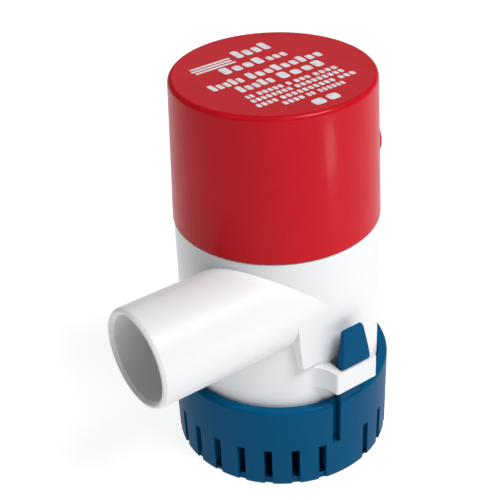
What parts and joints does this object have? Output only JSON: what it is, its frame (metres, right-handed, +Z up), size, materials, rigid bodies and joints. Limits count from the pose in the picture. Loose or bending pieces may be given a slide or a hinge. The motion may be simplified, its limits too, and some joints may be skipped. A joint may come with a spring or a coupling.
{
  "type": "bilge pump",
  "caption": "Submersible automatic bilge pump: slotted strainer base, housing with side hose outlet, latch tabs and a cap over motor and controls.",
  "frame": {"origin": "centre of the strainer's underside, on the motor axis", "axes": "+Z up the motor axis, outlet tube along -X, latch tabs at -Y and +Y, cable gland near +X"},
  "size_m": [0.0914, 0.0714, 0.1196],
  "materials": {
    "red_plastic": "glossy moulded",
    "white_plastic": "glossy moulded",
    "blue_plastic": "semi-gloss moulded",
    "grey_plastic": "moulded",
    "black_plastic": "moulded",
    "black_rubber": "matt",
    "stainless_steel": "satin",
    "zinc_plated_steel": "zinc plated",
    "lamination_steel": "bare stamped",
    "copper": "enamelled copper",
    "brass": "satin",
    "sintered_bronze": "sintered, matt",
    "ferrite": "matt ceramic",
    "carbon": "matt graphite",
    "board_laminate": "solder resist",
    "aluminium": "extruded",
    "capacitor_sleeve": "shrink sleeve",
    "red_wire_jacket": "soft jacket",
    "black_wire_jacket": "soft jacket"
  },
  "bodies": {
    "pump_body": {"strainer_base": "blue_plastic", "pump_housing": "white_plastic", "intake_plate": "white_plastic", "motor_chamber": "grey_plastic", "chamber_seal": "black_rubber", "cap_seal": "black_rubber", "shaft_seal": "black_rubber", "seal_retainer": "stainless_steel", "motor_screw_left": "stainless_steel", "motor_screw_right": "stainless_steel", "motor_can": "zinc_plated_steel", "magnet_left": "ferrite", "magnet_right": "ferrite", "magnet_clip": "stainless_steel", "lower_bearing": "sintered_bronze", "upper_bearing": "sintered_bronze", "end_bell": "black_plastic", "brush_spring_left": "stainless_steel", "brush_spring_right": "stainless_steel", "motor_terminal_left": "brass", "motor_terminal_right": "brass", "motor_lead_left": "red_wire_jacket", "motor_lead_right": "black_wire_jacket", "control_board": "board_laminate", "board_screw_1": "zinc_plated_steel", "board_screw_2": "zinc_plated_steel", "board_screw_3": "zinc_plated_steel", "capacitor": "capacitor_sleeve", "power_transistor": "black_plastic", "heat_sink": "aluminium", "controller_chip": "black_plastic", "flyback_diode": "black_plastic", "motor_cap": "red_plastic", "cable_gland": "black_rubber"},
    "rotor": {"motor_shaft": "stainless_steel", "shaft_spacer": "black_plastic", "armature_core": "lamination_steel", "armature_winding": "copper", "commutator": "copper", "impeller": "black_plastic", "impeller_nut": "stainless_steel"},
    "latch_front": {"latch_tab_front": "blue_plastic"},
    "latch_rear": {"latch_tab_rear": "blue_plastic"},
    "brush_left_body": {"brush_left": "carbon"},
    "brush_right_body": {"brush_right": "carbon"}
  },
  "joints": [
    {"name": "rotor_spin", "type": "hinge", "parent": "pump_body", "child": "rotor", "pos_m": [0, 0, 0.05], "axis": [0, 0, 1], "continuous": true},
    {"name": "latch_front_flex", "type": "hinge", "parent": "pump_body", "child": "latch_front", "pos_m": [0.0006, -0.032, 0.0282], "axis": [-1, 0, 0], "range_deg": [0, 5.5], "stiffness_Nm_per_rad": 0.5, "springref_deg": -1.15},
    {"name": "latch_rear_flex", "type": "hinge", "parent": "pump_body", "child": "latch_rear", "pos_m": [-0.0006, 0.032, 0.0282], "axis": [1, 0, 0], "range_deg": [0, 5.5], "stiffness_Nm_per_rad": 0.5, "springref_deg": -1.15},
    {"name": "brush_left_slide", "type": "slide", "parent": "pump_body", "child": "brush_left_body", "axis": [-1, 0, 0], "range_m": [0, 0.002], "stiffness_N_per_m": 150, "springref_m": -0.003, "deforming": ["brush_spring_left"]},
    {"name": "brush_right_slide", "type": "slide", "parent": "pump_body", "child": "brush_right_body", "axis": [1, 0, 0], "range_m": [0, 0.002], "stiffness_N_per_m": 150, "springref_m": -0.003, "deforming": ["brush_spring_right"]}
  ]
}
